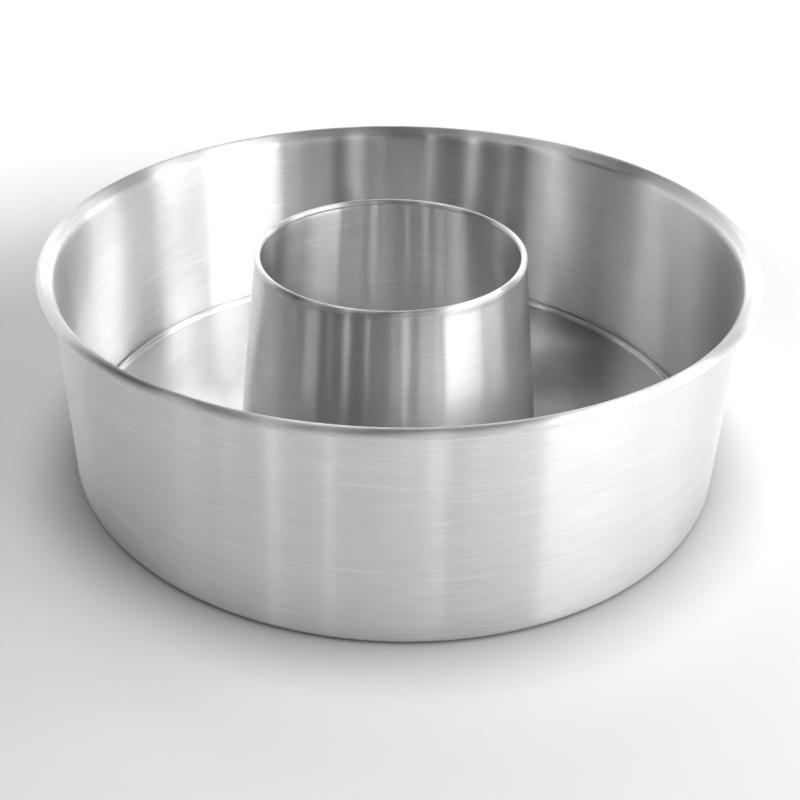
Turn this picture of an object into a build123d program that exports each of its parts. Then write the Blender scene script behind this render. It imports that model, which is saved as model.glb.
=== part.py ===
"""Angel food cake pan of spun aluminium, in millimetres.

A deep ring with a rolled rim holds a loose base on the ledge at its foot. A cone tube stands
in the middle of the base, clinched through it, and lifts out with it. Every piece is a sheet
turned about Z. Z points up, and the origin is the middle of the face that the pan rests on.
"""

import os
from math import acos, atan, cos, degrees, radians, sin, tan

from build123d import *

# Outer ring
rim_radius = 125.0
pan_height = 80.0
ring_sheet = 1.2
wall_draft = 0.45
lip_flare_angle = 50.0
lip_flare_length = 2.75
lip_flare_bend = 3.0
rim_bore = 1.0
ledge_width = 5.0

# Loose base, a dish with a low upturned edge
base_sheet = 1.2
base_bend = 1.2
base_edge_height = 2.4
base_gap = 0.35
corner_ease = 0.6

# Centre tube
tube_sheet = 0.9
tube_height = 72.3
tube_foot_radius = 56.85
tube_mouth_radius = 49.05
neck_height = 3.5
neck_bend = 12.0
foot_bend = 3.0
mouth_bore = 0.5

# Clinched joint between the tube and the base
shoulder_land = 0.4
shoulder_edge = 0.5
shoulder_fillet = 1.2
hem_width = 3.5
hem_bend = 0.2
hole_play = 0.05
curl_gap = 0.15

# Levels of the stacked sheets
floor_level = ring_sheet + base_sheet
mouth_level = floor_level + tube_height


def curl_turn(bore: float, sheet: float) -> float:
    """How far a curl turns, in degrees, before its raw edge comes within the gap of the sheet."""
    return 360 - degrees(acos((bore / 2 - curl_gap) / (bore / 2 + sheet)))


# Middle line of the outer ring's sheet, worked inwards from the rolled rim
rim_curl_radius = rim_bore / 2 + ring_sheet / 2
rim_centre_r = rim_radius - rim_bore / 2 - ring_sheet
rim_centre_z = pan_height - rim_bore / 2 - ring_sheet
flare_angle = radians(lip_flare_angle)
flare_end_r = rim_centre_r - rim_curl_radius * sin(flare_angle)
flare_end_z = rim_centre_z + rim_curl_radius * cos(flare_angle)
flare_bend_radius = lip_flare_bend + ring_sheet / 2
flare_reach = lip_flare_length + flare_bend_radius * tan(radians(90 - lip_flare_angle) / 2)
neck_r = flare_end_r - flare_reach * cos(flare_angle)
neck_z = flare_end_z - flare_reach * sin(flare_angle)
wall_foot_r = neck_r - wall_draft

# Corner at the foot of the ring, a little tighter than the corner of the base inside it
base_corner_radius = base_bend + base_sheet
ring_corner_radius = base_corner_radius - corner_ease + ring_sheet / 2
ledge_inner_r = wall_foot_r - ring_corner_radius - ledge_width

with BuildPart() as outer_ring:
    with BuildSketch(Plane.XZ):
        with BuildLine():
            FilletPolyline(
                (ledge_inner_r, ring_sheet / 2),
                (wall_foot_r, ring_sheet / 2),
                (neck_r, neck_z),
                (flare_end_r, flare_end_z),
                radius=[ring_corner_radius, flare_bend_radius],
            )
            CenterArc(
                (rim_centre_r, rim_centre_z),
                rim_curl_radius,
                lip_flare_angle + 90,
                -curl_turn(rim_bore, ring_sheet),
            )
        trace(line_width=ring_sheet)
    revolve(axis=Axis.Z)

# Loose base: lies on the ledge, just clear of the wall, with a deburred hole for the tube
base_radius = wall_foot_r - ring_sheet / 2 - base_gap
hole_radius = tube_foot_radius + hole_play
hole_break = hem_bend + 2 * hole_play

with BuildPart() as loose_base:
    with BuildSketch(Plane.XZ) as base_section:
        with BuildLine():
            FilletPolyline(
                (hole_radius, ring_sheet + base_sheet / 2),
                (base_radius - base_sheet / 2, ring_sheet + base_sheet / 2),
                (base_radius - base_sheet / 2, floor_level + base_edge_height),
                radius=base_bend + base_sheet / 2,
            )
        trace(line_width=base_sheet)
        chamfer(base_section.vertices().group_by(Axis.X)[0], length=hole_break)
    revolve(axis=Axis.Z)

# Middle line of the tube's sheet, from the curl at its mouth down to the hem under the base
mouth_curl_radius = mouth_bore / 2 + tube_sheet / 2
mouth_centre_r = tube_mouth_radius - mouth_bore / 2 - tube_sheet
mouth_centre_z = mouth_level - mouth_bore / 2 - tube_sheet
tube_mouth_r = tube_mouth_radius - tube_sheet / 2
tube_foot_r = tube_foot_radius - tube_sheet / 2
hem_level = ring_sheet - tube_sheet / 2
tube_lean = atan((tube_foot_r - tube_mouth_r) / (tube_height - neck_height))
shoulder_radius = tube_foot_radius + shoulder_fillet + shoulder_land
shoulder_root = shoulder_edge + 2 * shoulder_fillet


def cone_radius(height: float) -> float:
    """Outside radius of the cone at a height above the floor."""
    return tube_foot_r + tube_sheet / 2 / cos(tube_lean) - height * tan(tube_lean)


with BuildPart() as centre_tube:
    with BuildSketch(Plane.XZ):
        with BuildLine():
            CenterArc(
                (mouth_centre_r, mouth_centre_z),
                mouth_curl_radius,
                0,
                curl_turn(mouth_bore, tube_sheet),
            )
            FilletPolyline(
                (tube_mouth_r, mouth_centre_z),
                (tube_mouth_r, mouth_level - neck_height),
                (tube_foot_r, floor_level),
                (tube_foot_r, hem_level),
                (hole_radius + hem_width, hem_level),
                radius=[neck_bend, foot_bend, hem_bend + tube_sheet / 2],
            )
        trace(line_width=tube_sheet)
        # Fold of the sheet that stands on the floor round the tube
        with BuildLine():
            FilletPolyline(
                (shoulder_radius, floor_level + shoulder_edge),
                (cone_radius(shoulder_edge), floor_level + shoulder_edge),
                (cone_radius(shoulder_root), floor_level + shoulder_root),
                radius=shoulder_fillet,
            )
            Polyline(
                (cone_radius(shoulder_root), floor_level + shoulder_root),
                (tube_foot_r, floor_level),
                (shoulder_radius, floor_level),
                (shoulder_radius, floor_level + shoulder_edge),
            )
        make_face()
    revolve(axis=Axis.Z)

outer_ring.part.label = "outer_ring"
loose_base.part.label = "loose_base"
centre_tube.part.label = "centre_tube"

os.makedirs("parts", exist_ok=True)
export_step(outer_ring.part, "parts/outer_ring.step")
export_step(loose_base.part, "parts/loose_base.step")
export_step(centre_tube.part, "parts/centre_tube.step")
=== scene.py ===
"""Angel food cake pan of spun aluminium, dressed for the camera, in metres.

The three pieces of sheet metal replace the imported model's nodes one for one. Each is a closed section
of sheet turned about Z, with the same sizes as the CAD part and finer bends, sheared edges and tool rings.
"""

import logging
import math
from dataclasses import dataclass, field
from enum import Enum
from typing import Any

import bpy
import numpy as np
from mathutils import Matrix, Vector


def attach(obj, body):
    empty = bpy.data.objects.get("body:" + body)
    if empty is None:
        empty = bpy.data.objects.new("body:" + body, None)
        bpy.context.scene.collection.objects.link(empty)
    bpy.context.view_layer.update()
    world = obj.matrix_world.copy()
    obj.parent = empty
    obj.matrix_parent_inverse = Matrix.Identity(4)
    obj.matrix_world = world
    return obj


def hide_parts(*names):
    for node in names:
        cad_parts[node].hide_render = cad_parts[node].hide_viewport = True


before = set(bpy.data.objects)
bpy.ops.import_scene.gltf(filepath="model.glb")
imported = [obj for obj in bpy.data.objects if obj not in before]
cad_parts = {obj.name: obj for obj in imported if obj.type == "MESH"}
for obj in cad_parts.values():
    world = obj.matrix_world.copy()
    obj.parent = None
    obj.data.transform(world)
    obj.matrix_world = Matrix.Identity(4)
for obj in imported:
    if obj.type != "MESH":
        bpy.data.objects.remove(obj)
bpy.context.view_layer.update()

MM = 0.001
TURNS_MAP = "OFBake"
WORN = "worn"
LOG = logging.getLogger("cake_pan")

# Extra points of a straight run at a tool ring, and the shortest run that gets them, in widths of the ring.
RING_POINTS = np.array([-1.4, -0.7, 0.0, 0.7, 1.4])
SHORTEST_RUN = 4.0

# Part of the run that they keep inside, and how near to them, in millimetres, another point may stay.
RUN_ENDS = (0.01, 0.99)
POINT_CLEARANCE = 0.3

# Slow ripple of a spun sheet: millimetres for each radian, first angle and share of three sines.
RIPPLES = ((2.3, 0.0, 1.0), (1.31, 1.1, 0.7), (4.9, 2.3, 0.8))

# Largest angle in degrees between two points of a rolled edge.
CURL_STEP = 12.0

# Part of its range that noise mostly keeps to, and how much weaker each finer layer of it is.
NOISE_LOW, NOISE_HIGH = 0.3, 0.7
LAYER_FALL = 0.6

# Share of a turn that lays the wide side of the metal's reflection across the tangent.
QUARTER_TURN = 0.25
WHITE = (1.0, 1.0, 1.0, 1.0)


class Body(Enum):
    """The two bodies that the lift moves apart."""

    RING = "ring"
    INSERT = "insert"


class Side(Enum):
    """Which face of a sheet a tool ring is cut in, seen along its middle line."""

    RIGHT = 1
    LEFT = -1


# ---- shapes ----


@dataclass
class Line:
    """Middle line of a sheet in the plane of radius and height, in millimetres.

    points and tangents are arrays of shape (n, 2); tangents have length one.
    """

    points: np.ndarray
    tangents: np.ndarray

    def then(self, other: "Line") -> "Line":
        """This line with another one joined to its end, whose first point is the same point."""
        return Line(
            np.concatenate([self.points, other.points[1:]]),
            np.concatenate([self.tangents, other.tangents[1:]]),
        )

    def right(self) -> np.ndarray:
        """Unit normals on the right-hand side: the tangent (a, b) turned to (b, -a)."""
        return np.stack([self.tangents[:, 1], -self.tangents[:, 0]], axis=1)


@dataclass(frozen=True)
class ToolRing:
    """A shallow ring that the roller or the turning tool left, at a height or a radius in millimetres."""

    at: float
    side: Side
    depth: float = 0.03
    width: float = 0.45


def arc(centre: tuple[float, float], radius: float, start: float, turn: float, step: float = 9.0) -> Line:
    """Arc of a middle line: centre + radius * (cos a, sin a), with a running evenly from start through turn.

    Args:
        centre: Radius and height of the arc's centre.
        radius: Radius of the arc.
        start: Angle of the first point in degrees, from the radius axis towards the height axis.
        turn: Angle turned in degrees, positive against the clock.
        step: Largest angle between two points in degrees.

    Returns:
        The arc, whose tangents are the radius direction turned a quarter the way the arc turns.
    """
    count = max(3, math.ceil(abs(turn) / step) + 1)
    angles = np.radians(start + np.linspace(0.0, turn, count))
    spoke = np.stack([np.cos(angles), np.sin(angles)], axis=1)
    quarter = np.stack([-spoke[:, 1], spoke[:, 0]], axis=1) * math.copysign(1.0, turn)
    return Line(np.array(centre) + radius * spoke, quarter)


def straight(start: np.ndarray, end: np.ndarray, step: float, rings: tuple[ToolRing, ...]) -> Line:
    """Straight run of a middle line: start + t * (end - start), with t even and closer near tool rings.

    Args:
        start: First point.
        end: Last point.
        step: Largest distance between two points away from the rings.
        rings: Tool rings, each at a height on a steep run or at a radius on a flat one.

    Returns:
        The run, with five extra points across each ring that lies on it.
    """
    way = end - start
    length = float(np.hypot(*way))
    axis = int(np.argmax(np.abs(way)))
    share = np.linspace(0.0, 1.0, max(2, math.ceil(length / step) + 1))
    near = [
        (ring.at + RING_POINTS * ring.width - start[axis]) / way[axis]
        for ring in rings
        if abs(way[axis]) > SHORTEST_RUN * ring.width
    ]
    for extra in near:
        inside = extra[(extra > RUN_ENDS[0]) & (extra < RUN_ENDS[1])]
        if inside.size:
            gap = np.min(np.abs(share[:, None] - inside[None, :]), axis=1)
            keep = (gap > POINT_CLEARANCE / length) | (share == 0.0) | (share == 1.0)
            share = np.sort(np.concatenate([share[keep], inside]))
    points = start + share[:, None] * way
    return Line(points, np.repeat((way / length)[None, :], share.size, axis=0))


def bent_line(
    corners: list[tuple[float, float]], bends: list[float], step: float, rings: tuple[ToolRing, ...] = ()
) -> Line:
    """Middle line with rounded corners.

    A corner P between unit directions a and b that turn by t gets an arc of radius R, which starts
    R * tan(t / 2) before P. Its centre is R from that start, square to a, on the side that b turns to.

    Args:
        corners: Ends and corners of the line, as radius and height.
        bends: Radius of the arc at each corner between the ends.
        step: Largest distance between two points of a straight run.
        rings: Tool rings that the straight runs make room for.

    Returns:
        The whole line.
    """
    spots = np.array(corners, float)
    start = spots[0]
    line = None
    for before, spot, after, bend in zip(spots, spots[1:], spots[2:], bends):
        come = (spot - before) / np.hypot(*(spot - before))
        leave = (after - spot) / np.hypot(*(after - spot))
        turn = math.atan2(come[0] * leave[1] - come[1] * leave[0], come @ leave)
        reach = bend * math.tan(abs(turn) / 2)
        entry = spot - reach * come
        side = math.copysign(1.0, turn)
        centre = entry + side * bend * np.array([-come[1], come[0]])
        spoke = entry - centre
        first = math.degrees(math.atan2(spoke[1], spoke[0]))
        run = straight(start, entry, step, rings)
        line = run if line is None else line.then(run)
        line = line.then(arc(tuple(centre), bend, first, math.degrees(turn)))
        start = spot + reach * leave
    return line.then(straight(start, spots[-1], step, rings))


def rounded_end(tip: np.ndarray, out: np.ndarray, right: np.ndarray, half: float, edge: float) -> np.ndarray:
    """Sheared end of a sheet from its right face to its left one, with both corners rounded.

    Each corner is a quarter arc, centre + edge * (cos a * from + sin a * to), whose centre lies edge
    inside the end and edge inside the face.

    Args:
        tip: End of the middle line.
        out: Unit direction in which the sheet ends.
        right: Unit direction from the middle line to the right face.
        half: Half the sheet's thickness.
        edge: Radius of the rounded corners.

    Returns:
        Points of both arcs, shape (8, 2).
    """
    quarter = np.linspace(0.0, math.pi / 2, 4)[:, None]
    near = tip + (half - edge) * right - edge * out
    far = tip - (half - edge) * right - edge * out
    first = near + edge * (np.cos(quarter) * right + np.sin(quarter) * out)
    second = far + edge * (np.cos(quarter) * out - np.sin(quarter) * right)
    return np.concatenate([first, second])


def pressed(points: np.ndarray, rings: tuple[ToolRing, ...], side: Side, waviness: float) -> np.ndarray:
    """How far a face stands proud of its even offset, in millimetres.

    Each ring takes away depth * exp(-(d / width) ** 2), where d is how far the point's radius or height,
    whichever is nearer, lies from the ring's. The waviness adds three sines of unlike wavelengths, the slow
    ripple that a roller leaves.

    Args:
        points: Points of the face, shape (n, 2).
        rings: Tool rings of both faces.
        side: The face that these points belong to.
        waviness: Height of the strongest sine of the ripple.

    Returns:
        One number for each point.
    """
    place = points[:, 0] + points[:, 1]
    rise = waviness * sum(share * np.sin(place / pitch + first) for pitch, first, share in RIPPLES)
    for ring in rings:
        if ring.side is side:
            gap = np.min(np.abs(points - ring.at), axis=1)
            rise = rise - ring.depth * np.exp(-((gap / ring.width) ** 2))
    return rise


def sheet_section(
    line: Line, sheet: float, edge: float, rings: tuple[ToolRing, ...], waviness: float
) -> tuple[np.ndarray, np.ndarray]:
    """Section of a sheet: both faces offset from the middle line by half the sheet, without the ends.

    Args:
        line: Middle line.
        sheet: Thickness.
        edge: Radius of the rounded sheared corners, for which the last points stay clear of the ends.
        rings: Tool rings in either face.
        waviness: Height of the strongest sine of both faces' ripple.

    Returns:
        The right face and the left face, both from the start of the line to its end.
    """
    right = line.right()
    start = np.hypot(*(line.points - line.points[0]).T)
    stop = np.hypot(*(line.points - line.points[-1]).T)
    body = (start > 2 * edge) & (stop > 2 * edge)
    faces = []
    for side in (Side.RIGHT, Side.LEFT):
        face = line.points + side.value * sheet / 2 * right
        rise = pressed(face, rings, side, waviness)
        faces.append((face + side.value * rise[:, None] * right)[body])
    return faces[0], faces[1]


def closed_section(line: Line, right: np.ndarray, left: np.ndarray, sheet: float, edge: float) -> np.ndarray:
    """Whole outline of a sheet's section.

    It runs up the right face, round the end, back down the left face and round the start.

    Args:
        line: Middle line, whose ends place the sheared edges.
        right: Points of the right face.
        left: Points of the left face.
        sheet: Thickness.
        edge: Radius of the rounded sheared corners.

    Returns:
        The outline's points in order, shape (n, 2), without the first one repeated.
    """
    normal = line.right()
    end = rounded_end(line.points[-1], line.tangents[-1], normal[-1], sheet / 2, edge)
    start = rounded_end(line.points[0], -line.tangents[0], -normal[0], sheet / 2, edge)
    return np.concatenate([right, end, left[::-1], start])


def lathe(name: str, section: np.ndarray, worn: np.ndarray, segments: int) -> bpy.types.Object:
    """Turns a closed section about Z into a closed mesh.

    Grid point (i, j) is (r_i * cos(a_j), r_i * sin(a_j), z_i), where i runs round the section and j round
    the axis. Both ways round close on themselves. The map's u is a_j over a whole turn, and its v is the
    distance along the section over the section's length.

    Args:
        name: Name of the new object.
        section: Outline as radius and height in millimetres, in the order that closed_section gives.
        worn: How rubbed each point of the section is, from 0 to 1.
        segments: Number of steps round the axis.

    Returns:
        The new object, in metres, linked to the scene.
    """
    around, count = segments, len(section)
    angle = np.arange(around) * (2 * math.pi / around)
    radius, height = section[:, 0] * MM, section[:, 1] * MM
    grid = np.empty((count, around, 3))
    grid[..., 0] = radius[:, None] * np.cos(angle)
    grid[..., 1] = radius[:, None] * np.sin(angle)
    grid[..., 2] = height[:, None]

    row, column = np.meshgrid(np.arange(count), np.arange(around), indexing="ij")
    next_row, next_column = (row + 1) % count, (column + 1) % around
    here, ahead = row * around, next_row * around
    corners = np.stack([here + column, here + next_column, ahead + next_column, ahead + column], axis=-1)
    corners = corners.reshape(-1, 4)

    hops = np.hypot(*(np.roll(section, -1, axis=0) - section).T)
    reach = np.concatenate([[0.0], np.cumsum(hops)]) / hops.sum()
    u = np.stack([column, column + 1, column + 1, column], axis=-1) / around
    v = reach[np.stack([row, row, row + 1, row + 1], axis=-1)]
    places = np.stack([u, v], axis=-1)

    mesh = bpy.data.meshes.new(name)
    mesh.vertices.add(count * around)
    mesh.vertices.foreach_set("co", grid.astype(np.float32).ravel())
    mesh.loops.add(corners.size)
    mesh.loops.foreach_set("vertex_index", corners.astype(np.int32).ravel())
    mesh.polygons.add(len(corners))
    mesh.polygons.foreach_set("loop_start", np.arange(0, corners.size, 4, dtype=np.int32))
    mesh.polygons.foreach_set("use_smooth", np.ones(len(corners), bool))
    mesh.update(calc_edges=True)
    uv_map = mesh.uv_layers.new(name=TURNS_MAP)
    uv_map.uv.foreach_set("vector", places.astype(np.float32).ravel())
    rubbed = mesh.attributes.new(WORN, "FLOAT", "POINT")
    rubbed.data.foreach_set("value", np.repeat(worn, around).astype(np.float32))
    mesh.validate()
    piece = bpy.data.objects.new(name, mesh)
    bpy.context.scene.collection.objects.link(piece)
    return piece


def section_length(section: np.ndarray) -> float:
    """Length of a closed section's outline in millimetres."""
    return float(np.hypot(*(np.roll(section, -1, axis=0) - section).T).sum())


def rubbed_top(section: np.ndarray, start: float, full: float) -> np.ndarray:
    """How rubbed each point of a section is: 0 up to the start height and 1 from the full one on."""
    return np.clip((section[:, 1] - start) / (full - start), 0, 1)


def curl_turn(bore: float, sheet: float, gap: float) -> float:
    """How far a curl turns before its raw edge comes within the gap of the sheet.

    The edge stops where cos(a) = (bore / 2 - gap) / (bore / 2 + sheet), short of a whole turn by a.

    Args:
        bore: Width of the hollow that the curl leaves.
        sheet: Thickness.
        gap: Gap at the raw edge.

    Returns:
        The turn in degrees.
    """
    return 360 - math.degrees(math.acos((bore / 2 - gap) / (bore / 2 + sheet)))


# ---- finishes ----


def linear(colour: str) -> tuple[float, float, float, float]:
    """Turns an sRGB hex colour such as #C8C8C6 into linear red, green, blue and an alpha of 1."""
    parts = [int(colour[i : i + 2], 16) / 255 for i in (1, 3, 5)]
    red, green, blue = (p / 12.92 if p <= 0.04045 else ((p + 0.055) / 1.055) ** 2.4 for p in parts)
    return red, green, blue, 1.0


def add_node(
    tree: bpy.types.NodeTree, kind: str, inputs: dict[str | int, Any] | None = None, **settings: Any
) -> bpy.types.Node:
    """Adds a node, sets its options and fills its inputs.

    Args:
        tree: Node tree that the node goes into.
        kind: Blender's name of the node's type.
        inputs: Socket name or number to either another node's output, which is linked, or a value.
        **settings: Options of the node itself.

    Returns:
        The new node.
    """
    node = tree.nodes.new(kind)
    for option, value in settings.items():
        setattr(node, option, value)
    for socket, value in (inputs or {}).items():
        if isinstance(value, bpy.types.NodeSocket):
            tree.links.new(value, node.inputs[socket])
        else:
            node.inputs[socket].default_value = value
    return node


def new_material(name: str) -> tuple[bpy.types.Material, bpy.types.NodeTree]:
    """Makes a material whose node tree is still empty."""
    material = bpy.data.materials.new(name)
    material.use_nodes = True
    material.node_tree.nodes.clear()
    return material, material.node_tree


def add_up(
    tree: bpy.types.NodeTree,
    start: bpy.types.NodeSocket,
    terms: tuple[tuple[bpy.types.NodeSocket, float], ...],
) -> bpy.types.NodeSocket:
    """The start plus each term's value times its weight.

    Args:
        tree: Node tree that the sum goes into.
        start: Value that the terms are added to.
        terms: Values and their weights.

    Returns:
        The sum.
    """
    total = start
    for value, weight in terms:
        total = add_node(
            tree, "ShaderNodeMath", {0: value, 1: weight, 2: total}, operation="MULTIPLY_ADD"
        ).outputs[0]
    return total


@dataclass(frozen=True)
class Marks:
    """One layer of marks drawn out round a piece.

    length and width are the size of a mark in millimetres. seed shifts the noise, so that each layer
    differs, and detail is how many finer layers the noise has.
    """

    length: float
    width: float
    seed: float
    detail: float


@dataclass(frozen=True)
class SpunAluminium:
    """Aluminium sheet whose surface runs round the axis it was spun or turned about.

    The roller and the abrasive leave fine lines round the piece, so a lamp's reflection stays narrow along
    them and is drawn out across them into a band. The sides of coarser grooves draw it out further: grooves
    gives the slope of each side and its share over the ones before it. Over the lines lie broken streaks of
    abrasive, tool rings, short scratches from stacking and washing, and faint cloudiness. Rims that hands
    and racks have rubbed are duller.

    The real lines are under 0.1 mm apart, too fine to show, so they are drawn 0.42 mm wide. Each shade is
    how far its layer takes the colour towards the dull one. line_depth is in millimetres, and the other
    depths are in line depths.
    """

    name: str
    colour: str = "#F7F7F7"
    dull_colour: str = "#DEDEDE"
    roughness: float = 0.30
    roughness_spread: float = 0.03
    cloud_roughness: float = 0.06
    rubbed_roughness: float = 0.22
    anisotropy: float = 1.0
    groove_roughness: float = 0.62
    grooves: tuple[tuple[float, float], ...] = (
        (0.0, 0.4),
        (0.25, 0.22),
        (-0.25, 0.22),
        (0.5, 0.12),
        (-0.5, 0.12),
    )
    fine: Marks = Marks(26.0, 0.42, 3.1, 2.0)
    streaks: Marks = Marks(12.0, 0.9, 19.3, 1.0)
    rings: Marks = Marks(400.0, 2.6, 11.7, 3.0)
    scratches: Marks = Marks(34.0, 0.546, 27.9, 0.0)
    clouds: Marks = Marks(45.0, 16.0, 41.3, 2.0)
    scratch_start: float = 0.66
    scratch_full: float = 0.76
    ring_shade: float = 0.1
    streak_shade: float = 0.7
    scratch_shade: float = -0.35
    cloud_shade: float = 0.35
    line_depth: float = 0.010
    ring_depth: float = 0.2
    streak_depth: float = 2.4
    scratch_depth: float = -1.0
    typical_radius: float = 110.0

    def around(self, tree: bpy.types.NodeTree) -> bpy.types.NodeSocket:
        """Direction from the axis, (x, y, 0) scaled to length one, which meets itself after a whole turn."""
        place = add_node(tree, "ShaderNodeTexCoord").outputs["Object"]
        flat = add_node(tree, "ShaderNodeVectorMath", {0: place, 1: (1.0, 1.0, 0.0)}, operation="MULTIPLY")
        return add_node(tree, "ShaderNodeVectorMath", {0: flat.outputs[0]}, operation="NORMALIZE").outputs[0]

    def lines(
        self,
        tree: bpy.types.NodeTree,
        around: bpy.types.NodeSocket,
        along: bpy.types.NodeSocket,
        marks: Marks,
    ) -> bpy.types.NodeSocket:
        """Noise drawn out round the piece into lines.

        The noise is read at radius / length times the direction from the axis, plus distance along the
        section over width as a third coordinate, so one unit of noise is length by width on the metal.

        Args:
            tree: The material's node tree.
            around: Direction from the axis.
            along: Distance along the section in millimetres.
            marks: The layer to draw.

        Returns:
            The noise's value, about 0.5 on average.
        """
        wrap = self.typical_radius / marks.length
        level = add_node(
            tree, "ShaderNodeMath", {0: along, 1: 1 / marks.width, 2: marks.seed}, operation="MULTIPLY_ADD"
        )
        lift = add_node(
            tree, "ShaderNodeCombineXYZ", {"X": marks.seed, "Y": marks.seed, "Z": level.outputs[0]}
        )
        spot = add_node(
            tree,
            "ShaderNodeVectorMath",
            {0: around, 1: (wrap, wrap, 0.0), 2: lift.outputs[0]},
            operation="MULTIPLY_ADD",
        )
        noise = add_node(
            tree,
            "ShaderNodeTexNoise",
            {"Vector": spot.outputs[0], "Scale": 1.0, "Detail": marks.detail, "Roughness": LAYER_FALL},
            noise_dimensions="3D",
        )
        return noise.outputs["Fac"]

    def metal(
        self,
        tree: bpy.types.NodeTree,
        colour: bpy.types.NodeSocket,
        rough: bpy.types.NodeSocket,
        normal: bpy.types.NodeSocket,
        tangent: bpy.types.NodeSocket,
    ) -> bpy.types.NodeSocket:
        """Metal whose reflection is narrow along the tangent and ten times as wide across it.

        Args:
            tree: The material's node tree.
            colour: Colour that the metal reflects head on.
            rough: Roughness.
            normal: Direction that the metal faces.
            tangent: Direction of the lines.

        Returns:
            The shader.
        """
        values = {
            "Base Color": colour,
            "Metallic": 1.0,
            "Roughness": rough,
            "Normal": normal,
            "Anisotropic": self.anisotropy,
            "Anisotropic Rotation": QUARTER_TURN,
            "Tangent": tangent,
        }
        return add_node(tree, "ShaderNodeBsdfPrincipled", values).outputs[0]

    def grooved(
        self,
        tree: bpy.types.NodeTree,
        colour: bpy.types.NodeSocket,
        rough: bpy.types.NodeSocket,
        normal: bpy.types.NodeSocket,
        tangent: bpy.types.NodeSocket,
    ) -> bpy.types.NodeSocket:
        """The satin metal, with the sides of its grooves mixed over it one after another.

        A side's normal is the surface's one plus slope times the direction across the lines, made length one.
        The satin metal is made first, so it is what a viewer that can't mix metals shows.

        Args:
            tree: The material's node tree.
            colour: Colour that the metal reflects head on.
            rough: Roughness of the satin metal.
            normal: Direction that the metal faces.
            tangent: Direction of the lines.

        Returns:
            The shader.
        """
        shader = self.metal(tree, colour, rough, normal, tangent)
        across = add_node(
            tree, "ShaderNodeVectorMath", {0: normal, 1: tangent}, operation="CROSS_PRODUCT"
        ).outputs[0]
        gloss = add_node(
            tree, "ShaderNodeMath", {0: rough, 1: self.groove_roughness}, operation="MULTIPLY"
        ).outputs[0]
        for slope, share in self.grooves:
            push = add_node(tree, "ShaderNodeVectorMath", {0: across, "Scale": slope}, operation="SCALE")
            tilted = add_node(tree, "ShaderNodeVectorMath", {0: normal, 1: push.outputs[0]}, operation="ADD")
            tilted = add_node(tree, "ShaderNodeVectorMath", {0: tilted.outputs[0]}, operation="NORMALIZE")
            side = self.metal(tree, colour, gloss, tilted.outputs[0], tangent)
            shader = add_node(tree, "ShaderNodeMixShader", {0: share, 1: shader, 2: side}).outputs[0]
        return shader

    def build(self, length: float) -> bpy.types.Material:
        """Makes the material for a piece whose section is that long.

        Args:
            length: Length of the section's outline in millimetres, which the map's v covers.

        Returns:
            The material.
        """
        material, tree = new_material(self.name)
        uv = add_node(tree, "ShaderNodeUVMap", uv_map=TURNS_MAP).outputs[0]
        split = add_node(tree, "ShaderNodeSeparateXYZ", {0: uv})
        along = add_node(
            tree, "ShaderNodeMath", {0: split.outputs["Y"], 1: length}, operation="MULTIPLY"
        ).outputs[0]
        around = self.around(tree)
        rubbed = add_node(tree, "ShaderNodeAttribute", attribute_name=WORN).outputs["Fac"]
        fine, streaks, rings, cuts, cloud = (
            self.lines(tree, around, along, marks)
            for marks in (self.fine, self.streaks, self.rings, self.scratches, self.clouds)
        )
        scratch = add_node(
            tree, "ShaderNodeMapRange", {0: cuts, 1: self.scratch_start, 2: self.scratch_full}, clamp=True
        ).outputs[0]

        tone = add_node(
            tree,
            "ShaderNodeMapRange",
            {0: rings, 1: NOISE_LOW, 2: NOISE_HIGH, 3: 0.0, 4: self.ring_shade},
            clamp=True,
        ).outputs[0]
        shades = ((streaks, self.streak_shade), (scratch, self.scratch_shade), (cloud, self.cloud_shade))
        tone = add_up(tree, tone, shades)
        colour = add_node(
            tree,
            "ShaderNodeMix",
            {"Factor": tone, 6: linear(self.colour), 7: linear(self.dull_colour)},
            data_type="RGBA",
        ).outputs[2]

        low, high = self.roughness - self.roughness_spread, self.roughness + self.roughness_spread
        rough = add_node(
            tree, "ShaderNodeMapRange", {0: fine, 1: NOISE_LOW, 2: NOISE_HIGH, 3: low, 4: high}
        ).outputs[0]
        rough = add_up(tree, rough, ((cloud, self.cloud_roughness), (rubbed, self.rubbed_roughness)))

        depths = ((rings, self.ring_depth), (streaks, self.streak_depth), (scratch, self.scratch_depth))
        height = add_up(tree, fine, depths)
        bump = add_node(
            tree, "ShaderNodeBump", {"Height": height, "Strength": 1.0, "Distance": self.line_depth * MM}
        ).outputs[0]
        tangent = add_node(tree, "ShaderNodeTangent", direction_type="UV_MAP", uv_map=TURNS_MAP).outputs[0]
        shader = self.grooved(tree, colour, rough, bump, tangent)
        add_node(tree, "ShaderNodeOutputMaterial", {"Surface": shader})
        return material


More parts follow.
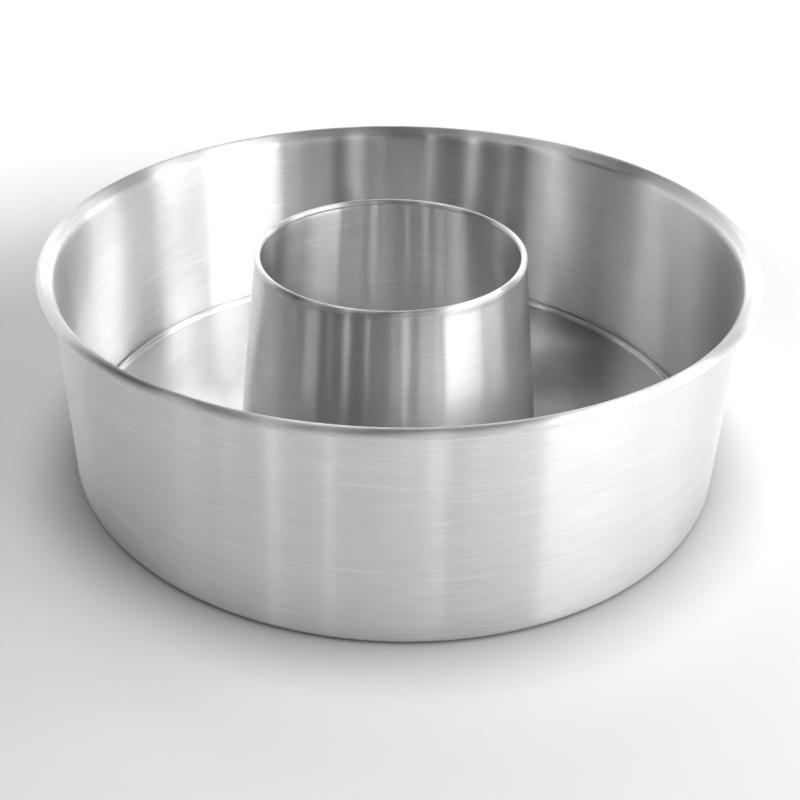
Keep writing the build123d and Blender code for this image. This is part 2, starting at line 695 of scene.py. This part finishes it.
@dataclass(frozen=True)
class PaleBoard:
    """Laminated board under the pan: smooth, matt and nearly white, so it shows only the pan's soft shadow.

    The studio's white reaches it as light of its own, which only the camera, mirrors and glass see. It
    grows from lift to far_lift between the near distance and the far one, in metres from the pan's axis,
    so it is weaker near the pan, a painted shade round it. Within shadow_reach of the pan, a painted contact
    shadow darkens both the board's colour and that light.
    """

    name: str = "matt_white_laminate"
    colour: str = "#F9F9F9"
    roughness: float = 0.75
    roughness_spread: float = 0.05
    mottle_scale: float = 30.0
    specular_level: float = 0.2
    lift: float = 0.10
    far_lift: float = 0.5
    near: float = 0.19
    far: float = 0.5
    # Reach in metres of the painted contact shadow, which darkens the board's colour and glow near the pan.
    shadow_reach: float = 0.025
    shadow_samples: int = 8

    def build(self) -> bpy.types.Material:
        """Makes the material, with a faint mottle a few centimetres wide in its roughness."""
        material, tree = new_material(self.name)
        place = add_node(tree, "ShaderNodeTexCoord").outputs["Object"]
        mottle = add_node(
            tree, "ShaderNodeTexNoise", {"Vector": place, "Scale": self.mottle_scale}
        ).outputs["Fac"]
        low, high = self.roughness - self.roughness_spread, self.roughness + self.roughness_spread
        rough = add_node(tree, "ShaderNodeMapRange", {0: mottle, 3: low, 4: high}).outputs[0]
        path = add_node(tree, "ShaderNodeLightPath").outputs
        seen = path["Is Camera Ray"]
        for ray in ("Is Glossy Ray", "Is Transmission Ray"):
            seen = add_node(tree, "ShaderNodeMath", {0: seen, 1: path[ray]}, operation="MAXIMUM").outputs[0]
        away = add_node(tree, "ShaderNodeVectorMath", {0: place}, operation="LENGTH").outputs["Value"]
        # Glow that only the camera, mirrors and glass see. It is weaker near the pan and grows outwards, a
        # painted shade round the pan.
        glow = add_node(
            tree,
            "ShaderNodeMapRange",
            {0: away, 1: self.near, 2: self.far, 3: self.lift, 4: self.far_lift},
            interpolation_type="SMOOTHSTEP",
        ).outputs[0]
        # Painted contact shadow: ambient occlusion darkens the board's colour and its glow near the pan.
        painted_contact_shadow = add_node(
            tree,
            "ShaderNodeAmbientOcclusion",
            {"Color": linear(self.colour), "Distance": self.shadow_reach},
            samples=self.shadow_samples,
        ).outputs
        for share in (painted_contact_shadow["AO"], seen):
            glow = add_node(tree, "ShaderNodeMath", {0: glow, 1: share}, operation="MULTIPLY").outputs[0]
        shader = add_node(
            tree,
            "ShaderNodeBsdfPrincipled",
            {
                "Base Color": painted_contact_shadow["Color"],
                "Roughness": rough,
                "Specular IOR Level": self.specular_level,
                "Emission Color": WHITE,
                "Emission Strength": glow,
            },
        )
        add_node(tree, "ShaderNodeOutputMaterial", {"Surface": shader.outputs[0]})
        return material


@dataclass(frozen=True)
class Felt:
    """Dyed wool felt: fully matt, a little uneven in shade."""

    name: str
    colour: str
    least_roughness: float = 0.92
    mottle_scale: float = 8.0

    def build(self) -> bpy.types.Material:
        """Makes the material, with a mottle about a hand wide in its roughness."""
        material, tree = new_material(self.name)
        place = add_node(tree, "ShaderNodeTexCoord").outputs["Object"]
        mottle = add_node(
            tree, "ShaderNodeTexNoise", {"Vector": place, "Scale": self.mottle_scale}
        ).outputs["Fac"]
        rough = add_node(tree, "ShaderNodeMapRange", {0: mottle, 3: self.least_roughness}).outputs[0]
        shader = add_node(
            tree,
            "ShaderNodeBsdfPrincipled",
            {"Base Color": linear(self.colour), "Roughness": rough, "Specular IOR Level": 0.0},
        )
        add_node(tree, "ShaderNodeOutputMaterial", {"Surface": shader.outputs[0]})
        return material


# ---- the pan ----

# Sizes are in millimetres and angles in degrees. The metal gets duller from rubbed_depth below the top of
# a piece and is at its dullest from rubbed_full_depth below it.


@dataclass
class OuterRing:
    """Spun side wall with a flared lip, a rolled rim and the ledge at its foot that carries the base."""

    rim_radius: float = 125.0
    height: float = 80.0
    sheet: float = 1.2
    wall_draft: float = 0.45
    flare_angle: float = 50.0
    flare_length: float = 2.75
    flare_bend: float = 3.0
    rim_bore: float = 1.0
    ledge_width: float = 5.0
    foot_bend: float = 2.4
    curl_gap: float = 0.15
    sheared_edge: float = 0.15
    run_step: float = 2.4
    rubbed_depth: float = 3.2
    rubbed_full_depth: float = 2.0
    waviness: float = 0.004
    segments: int = 448
    rings: tuple[ToolRing, ...] = (
        ToolRing(26.4, Side.RIGHT),
        ToolRing(24.0, Side.RIGHT, 0.02),
        ToolRing(36.0, Side.RIGHT, 0.012),
        ToolRing(11.0, Side.RIGHT, 0.012),
        ToolRing(51.6, Side.LEFT, 0.02),
        ToolRing(49.8, Side.LEFT, 0.02),
    )
    finish: SpunAluminium = field(default_factory=lambda: SpunAluminium("spun_satin_aluminium_ring"))

    def neck(self) -> tuple[float, float]:
        """Radius and height of the corner where wall and flare would meet, worked inwards from the rim."""
        curl = self.rim_bore / 2 + self.sheet / 2
        centre_r, centre_z = self.curl_centre()
        angle = math.radians(self.flare_angle)
        bend = self.flare_bend + self.sheet / 2
        reach = self.flare_length + bend * math.tan(math.radians(90 - self.flare_angle) / 2)
        end_r, end_z = centre_r - curl * math.sin(angle), centre_z + curl * math.cos(angle)
        return end_r - reach * math.cos(angle), end_z - reach * math.sin(angle)

    def curl_centre(self) -> tuple[float, float]:
        """Radius and height of the middle of the rolled rim."""
        inset = self.rim_bore / 2 + self.sheet
        return self.rim_radius - inset, self.height - inset

    def line(self) -> Line:
        """Middle line from the ledge's inner edge out and up the wall, over the rim and round the curl."""
        curl = self.rim_bore / 2 + self.sheet / 2
        centre = self.curl_centre()
        angle = math.radians(self.flare_angle)
        flare_end = (centre[0] - curl * math.sin(angle), centre[1] + curl * math.cos(angle))
        neck_r, neck_z = self.neck()
        foot_r = neck_r - self.wall_draft
        low = self.sheet / 2
        inner = foot_r - self.foot_bend - self.ledge_width
        wall = bent_line(
            [(inner, low), (foot_r, low), (neck_r, neck_z), flare_end],
            [self.foot_bend, self.flare_bend + self.sheet / 2],
            self.run_step,
            self.rings,
        )
        turn = curl_turn(self.rim_bore, self.sheet, self.curl_gap)
        return wall.then(arc(centre, curl, self.flare_angle + 90, -turn, CURL_STEP))

    def make(self) -> bpy.types.Object:
        """Builds and dresses the ring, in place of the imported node.

        Returns:
            The ring, riding on its body.
        """
        line = self.line()
        right, left = sheet_section(line, self.sheet, self.sheared_edge, self.rings, self.waviness)
        section = closed_section(line, right, left, self.sheet, self.sheared_edge)
        worn = rubbed_top(section, self.height - self.rubbed_depth, self.height - self.rubbed_full_depth)
        piece = lathe("outer_ring_spun", section, worn, self.segments)
        piece.data.materials.append(self.finish.build(section_length(section)))
        return settle(piece, "outer_ring", Body.RING)


@dataclass
class LooseBase:
    """Turned floor disc with a low upturned edge and a deburred hole for the tube."""

    radius: float = 118.45
    level: float = 1.8
    sheet: float = 1.2
    bend: float = 1.2
    edge_height: float = 2.4
    hole_radius: float = 56.9
    hole_break: float = 0.3
    run_step: float = 2.0
    rubbed_depth: float = 0.8
    rubbed_full_depth: float = 0.3
    waviness: float = 0.003
    segments: int = 512
    rings: tuple[ToolRing, ...] = (
        ToolRing(70.0, Side.LEFT, 0.012),
        ToolRing(88.5, Side.LEFT, 0.012),
        ToolRing(104.0, Side.LEFT, 0.02),
    )
    finish: SpunAluminium = field(
        default_factory=lambda: SpunAluminium("turned_satin_aluminium_base", typical_radius=90.0)
    )

    def top(self) -> float:
        """Height of the upturned edge's top."""
        return self.level + self.sheet / 2 + self.edge_height

    def line(self) -> Line:
        """Middle line from the hole out to the edge and up it."""
        out = self.radius - self.sheet / 2
        corners = [(self.hole_radius, self.level), (out, self.level), (out, self.top())]
        return bent_line(corners, [self.bend + self.sheet / 2], self.run_step, self.rings)

    def make(self) -> bpy.types.Object:
        """Builds and dresses the base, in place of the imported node.

        Returns:
            The base, riding on its body.
        """
        line = self.line()
        right, left = sheet_section(line, self.sheet, self.hole_break, self.rings, self.waviness)
        section = closed_section(line, right, left, self.sheet, self.hole_break)
        worn = rubbed_top(section, self.top() - self.rubbed_depth, self.top() - self.rubbed_full_depth)
        piece = lathe("loose_base_turned", section, worn, self.segments)
        piece.data.materials.append(self.finish.build(section_length(section)))
        return settle(piece, "loose_base", Body.INSERT)


@dataclass
class CentreTube:
    """Spun cone with a curled mouth, a folded shoulder on the floor and a hem under it."""

    sheet: float = 0.9
    mouth_radius: float = 49.05
    mouth_level: float = 74.7
    mouth_bore: float = 0.5
    neck_height: float = 3.5
    neck_bend: float = 12.0
    foot_radius: float = 56.85
    foot_bend: float = 3.0
    floor_level: float = 2.4
    hem_level: float = 0.75
    hem_width: float = 3.5
    hem_bend: float = 0.65
    shoulder_land: float = 0.4
    shoulder_edge: float = 0.5
    shoulder_fillet: float = 1.2
    curl_gap: float = 0.15
    hole_play: float = 0.05
    sheared_edge: float = 0.12
    fold_play: float = 0.1
    fold_bend: float = 0.08
    land_bend: float = 0.12
    fold_step: float = 1.0
    run_step: float = 1.9
    rubbed_depth: float = 1.8
    rubbed_full_depth: float = 1.2
    waviness: float = 0.004
    segments: int = 400
    rings: tuple[ToolRing, ...] = (
        ToolRing(66.0, Side.RIGHT, 0.02),
        ToolRing(30.0, Side.RIGHT, 0.015),
        ToolRing(14.5, Side.RIGHT, 0.02),
        ToolRing(12.6, Side.RIGHT, 0.02),
        ToolRing(58.0, Side.LEFT, 0.02),
    )
    finish: SpunAluminium = field(
        default_factory=lambda: SpunAluminium("spun_satin_aluminium_tube", typical_radius=53.0)
    )

    def line(self) -> Line:
        """Middle line from the hem's outer edge in, up the cone and neck, and round the curl at the mouth."""
        foot = self.foot_radius - self.sheet / 2
        neck = self.mouth_radius - self.sheet / 2
        curl = self.mouth_bore / 2 + self.sheet / 2
        inset = self.mouth_bore / 2 + self.sheet
        centre = (self.mouth_radius - inset, self.mouth_level - inset)
        hem_out = self.foot_radius + self.hole_play + self.hem_width
        cone = bent_line(
            [
                (hem_out, self.hem_level),
                (foot, self.hem_level),
                (foot, self.floor_level),
                (neck, self.mouth_level - self.neck_height),
                (neck, centre[1]),
            ],
            [self.hem_bend, self.foot_bend, self.neck_bend],
            self.run_step,
            self.rings,
        )
        turn = curl_turn(self.mouth_bore, self.sheet, self.curl_gap)
        return cone.then(arc(centre, curl, 0.0, turn, CURL_STEP))

    def shoulder(self, face: np.ndarray) -> np.ndarray:
        """The tube's outer face with the folded shoulder let into it.

        The face's points between the floor and the top of the shoulder's fillet give way to the fold: out
        along the floor, up its edge, in over the land and up the fillet.

        Args:
            face: The tube's outer face from the hem up.

        Returns:
            The face with the shoulder.
        """
        out = self.foot_radius + self.shoulder_fillet + self.shoulder_land
        land = self.floor_level + self.shoulder_edge
        root = land + 2 * self.shoulder_fillet
        below = face[:, 1] < self.floor_level
        above = face[:, 1] > root
        first = face[above][0]
        fold = bent_line(
            [
                (self.foot_radius + self.fold_play, self.floor_level),
                (out, self.floor_level),
                (out, land),
                (first[0], land),
                tuple(first),
            ],
            [self.fold_bend, self.land_bend, self.shoulder_fillet],
            self.fold_step,
        )
        return np.concatenate([face[below], fold.points[:-1], face[above]])

    def make(self) -> bpy.types.Object:
        """Builds and dresses the tube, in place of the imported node.

        Returns:
            The tube, riding on its body.
        """
        line = self.line()
        right, left = sheet_section(line, self.sheet, self.sheared_edge, self.rings, self.waviness)
        section = closed_section(line, self.shoulder(right), left, self.sheet, self.sheared_edge)
        start, full = self.mouth_level - self.rubbed_depth, self.mouth_level - self.rubbed_full_depth
        worn = rubbed_top(section, start, full)
        piece = lathe("centre_tube_spun", section, worn, self.segments)
        piece.data.materials.append(self.finish.build(section_length(section)))
        return settle(piece, "centre_tube", Body.INSERT)


def settle(piece: bpy.types.Object, node: str, body: Body) -> bpy.types.Object:
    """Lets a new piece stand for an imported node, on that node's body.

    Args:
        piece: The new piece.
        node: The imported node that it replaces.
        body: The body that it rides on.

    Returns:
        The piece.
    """
    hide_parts(node)
    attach(piece, body.value)
    LOG.info("%s: %d faces, stands for %s on %s", piece.name, len(piece.data.polygons), node, body.value)
    return piece


# ---- the studio ----


def outward(azimuth: np.ndarray | float, elevation: np.ndarray | float) -> np.ndarray:
    """Unit direction (sin a cos e, -cos a cos e, sin e) at azimuth a and elevation e.

    Args:
        azimuth: Angle in degrees from the camera's side towards the right.
        elevation: Angle in degrees above the floor.

    Returns:
        The direction, or an array of directions whose last axis is x, y, z.
    """
    a, e = np.radians(azimuth), np.radians(elevation)
    return np.stack(np.broadcast_arrays(np.sin(a) * np.cos(e), -np.cos(a) * np.cos(e), np.sin(e)), axis=-1)


@dataclass(frozen=True)
class Softbox:
    """A flat rectangular lamp that faces the pan.

    azimuth is measured from the camera's side towards the right and elevation from the floor. wide and tall
    are the angles that the lamp spans as seen from the pan, in degrees, and level is its radiance.
    """

    name: str
    azimuth: float
    elevation: float
    wide: float
    tall: float
    level: float
    distance: float = 1.4

    def make(self) -> bpy.types.Object:
        """Hangs the lamp, turned to the middle of the pan.

        A flat lamp of radiance L and area A gives pi * A * L watts.

        Returns:
            The lamp.
        """
        light = bpy.data.lights.new(self.name, "AREA")
        light.shape = "RECTANGLE"
        level_distance = self.distance * math.cos(math.radians(self.elevation))
        light.size = 2 * level_distance * math.tan(math.radians(self.wide / 2))
        light.size_y = 2 * self.distance * math.tan(math.radians(self.tall / 2))
        light.energy = math.pi * light.size * light.size_y * self.level
        lamp = bpy.data.objects.new(self.name, light)
        out = Vector(outward(self.azimuth, self.elevation))
        lamp.location = out * self.distance
        lamp.rotation_mode = "QUATERNION"
        lamp.rotation_quaternion = (-out).to_track_quat("-Z", "Y")
        lamp.visible_camera = False
        bpy.context.scene.collection.objects.link(lamp)
        return lamp


@dataclass(frozen=True)
class FeltScreen:
    """A curved screen of felt that keeps the white surroundings out of the metal, as a studio flag does.

    It spans the given azimuths and elevations in degrees, on a sphere round the pan, with a point at least
    every step degrees.
    """

    name: str
    azimuths: tuple[float, float]
    elevations: tuple[float, float]
    shade: str
    distance: float = 1.9
    step: float = 6.0

    def make(self) -> bpy.types.Object:
        """Hangs the screen: a grid of directions, each times the distance.

        Returns:
            The screen.
        """
        spans = (self.azimuths, self.elevations)
        rows = (np.linspace(low, high, math.ceil((high - low) / self.step) + 1) for low, high in spans)
        azimuth, elevation = np.meshgrid(*rows, indexing="ij")
        points = outward(azimuth, elevation) * self.distance
        mesh = grid_mesh(self.name, points)
        mesh.materials.append(Felt(f"{self.name}_felt", self.shade).build())
        screen = bpy.data.objects.new(self.name, mesh)
        screen.visible_camera = False
        bpy.context.scene.collection.objects.link(screen)
        return screen


def grid_mesh(name: str, points: np.ndarray) -> bpy.types.Mesh:
    """Mesh of an open grid of points, shape (rows, columns, 3), with a face between each four."""
    rows, columns = points.shape[:2]
    number = np.arange(rows * columns).reshape(rows, columns)
    faces = np.stack([number[:-1, :-1], number[1:, :-1], number[1:, 1:], number[:-1, 1:]], axis=-1)
    mesh = bpy.data.meshes.new(name)
    mesh.from_pydata(points.reshape(-1, 3).tolist(), [], faces.reshape(-1, 4).tolist())
    return mesh


@dataclass(frozen=True)
class PhotoCamera:
    """The photograph's view: where the camera stands and aims, and the crop that its shift stands for.

    Lengths are in metres and angles in degrees. aim turns the camera to the right of the pan's axis, or to
    the left where it is negative, and lean tips its horizon. The shifts are shares of the picture's width.
    """

    target_height: float = 0.040
    elevation: float = 28.97
    distance: float = 0.41433
    aim: float = -5.204
    lean: float = 0.956
    lens: float = 49.389
    shift_x: float = 0.14
    shift_y: float = -0.0852

    def make(self) -> bpy.types.Object:
        """Sets the camera up: yaw about its own up axis first, then the lean about its line of sight."""
        e, aim, lean = (math.radians(x) for x in (self.elevation, self.aim, self.lean))
        back = Vector((0, -math.cos(e), math.sin(e)))
        right, up = Vector((1, 0, 0)), Vector((0, math.sin(e), math.cos(e)))
        sight = -back * math.cos(aim) + right * math.sin(aim)
        right = right * math.cos(aim) + back * math.sin(aim)
        level, plumb = right, up
        right = level * math.cos(lean) + plumb * math.sin(lean)
        up = plumb * math.cos(lean) - level * math.sin(lean)
        data = bpy.data.cameras.new("photo_camera")
        data.lens = self.lens
        data.shift_x, data.shift_y = self.shift_x, self.shift_y
        data.clip_start = 0.01
        camera = bpy.data.objects.new("photo_camera", data)
        turn = Matrix((right, up, -sight)).transposed().to_4x4()
        stand = Vector((0, 0, self.target_height)) + back * self.distance
        camera.matrix_world = Matrix.Translation(stand) @ turn
        bpy.context.scene.collection.objects.link(camera)
        bpy.context.scene.camera = camera
        return camera


@dataclass
class Studio:
    """Pale floor, white surroundings, felt screens and soft lamps.

    The floor lies floor_gap below the pan, so that the two don't share a plane.
    """

    floor_size: float = 6.0
    floor_points: int = 9
    floor_gap: float = 0.00005
    board: PaleBoard = field(default_factory=PaleBoard)
    screens: tuple[FeltScreen, ...] = (
        FeltScreen("screen_front", (-104.0, 45.0), (-1.0, 42.0), "#303030"),
        FeltScreen("screen_right", (124.0, 148.0), (26.0, 42.0), "#606060"),
        FeltScreen("screen_ceiling", (-180.0, 180.0), (38.0, 90.0), "#303030", 2.0),
    )
    lamps: tuple[Softbox, ...] = (
        Softbox("key_near", 54.0, 31.0, 16.0, 11.0, 12.5),
        Softbox("key_middle", 71.0, 31.0, 18.0, 11.0, 12.0),
        Softbox("key_gap", 86.0, 31.0, 10.0, 11.0, 6.5),
        Softbox("key_far", 98.0, 31.0, 14.0, 11.0, 10.5),
        Softbox("key_high", 80.0, 46.0, 16.0, 12.0, 2.0),
        Softbox("corner_right", 130.0, 18.0, 20.0, 12.0, 3.2),
        Softbox("back_low", 179.0, 24.0, 14.0, 20.0, 3.0),
        Softbox("back_top", 198.0, 62.0, 28.0, 16.0, 3.4),
        Softbox("front_40", 40.0, 31.0, 7.0, 11.0, 5.0),
        Softbox("front_30", 30.0, 31.0, 11.0, 11.0, 3.6),
        Softbox("front_18", 15.5, 27.0, 4.0, 18.0, 3.0),
        Softbox("front_13", 12.5, 31.0, 4.0, 11.0, 5.0),
        Softbox("front_6", 5.5, 31.0, 6.0, 11.0, 2.0),
        Softbox("front_high", 22.0, 46.0, 14.0, 12.0, 1.2),
        Softbox("front_wide", -14.0, 31.0, 44.0, 11.0, 0.4),
        Softbox("left_16", -16.0, 26.0, 2.4, 20.0, 2.8),
        Softbox("left_34", -32.5, 26.0, 4.0, 20.0, 2.8),
        Softbox("left_47", -47.0, 26.0, 2.4, 20.0, 1.6),
        Softbox("left_high_38", -38.0, 46.0, 5.0, 12.0, 2.4),
        Softbox("left_high_48", -48.0, 46.0, 5.0, 12.0, 1.3),
        Softbox("left_panel", -64.0, 31.0, 13.0, 11.0, 3.4),
    )

    def make(self) -> None:
        """Lays the floor, sets the world and hangs the screens and lamps."""
        steps = np.linspace(-self.floor_size / 2, self.floor_size / 2, self.floor_points)
        x, y = np.meshgrid(steps, steps, indexing="ij")
        mesh = grid_mesh("floor", np.stack([x, y, np.full_like(x, -self.floor_gap)], axis=-1))
        mesh.materials.append(self.board.build())
        floor = bpy.data.objects.new("floor", mesh)
        bpy.context.scene.collection.objects.link(floor)

        world = bpy.data.worlds.new("white_studio")
        world.use_nodes = True
        tree = world.node_tree
        tree.nodes.clear()
        white = add_node(tree, "ShaderNodeBackground", {"Color": WHITE, "Strength": 1.0})
        add_node(tree, "ShaderNodeOutputWorld", {"Surface": white.outputs[0]})
        bpy.context.scene.world = world
        for thing in (*self.screens, *self.lamps):
            thing.make()


def main() -> None:
    """Builds the pan piece by piece, then the studio and the camera."""
    logging.basicConfig(level=logging.INFO, format="%(name)s: %(message)s")
    bpy.context.scene.view_settings.view_transform = "Standard"
    for part in (OuterRing(), LooseBase(), CentreTube()):
        part.make()
    Studio().make()
    PhotoCamera().make()
    LOG.info("camera and studio are set")


if __name__ == "__main__":
    main()
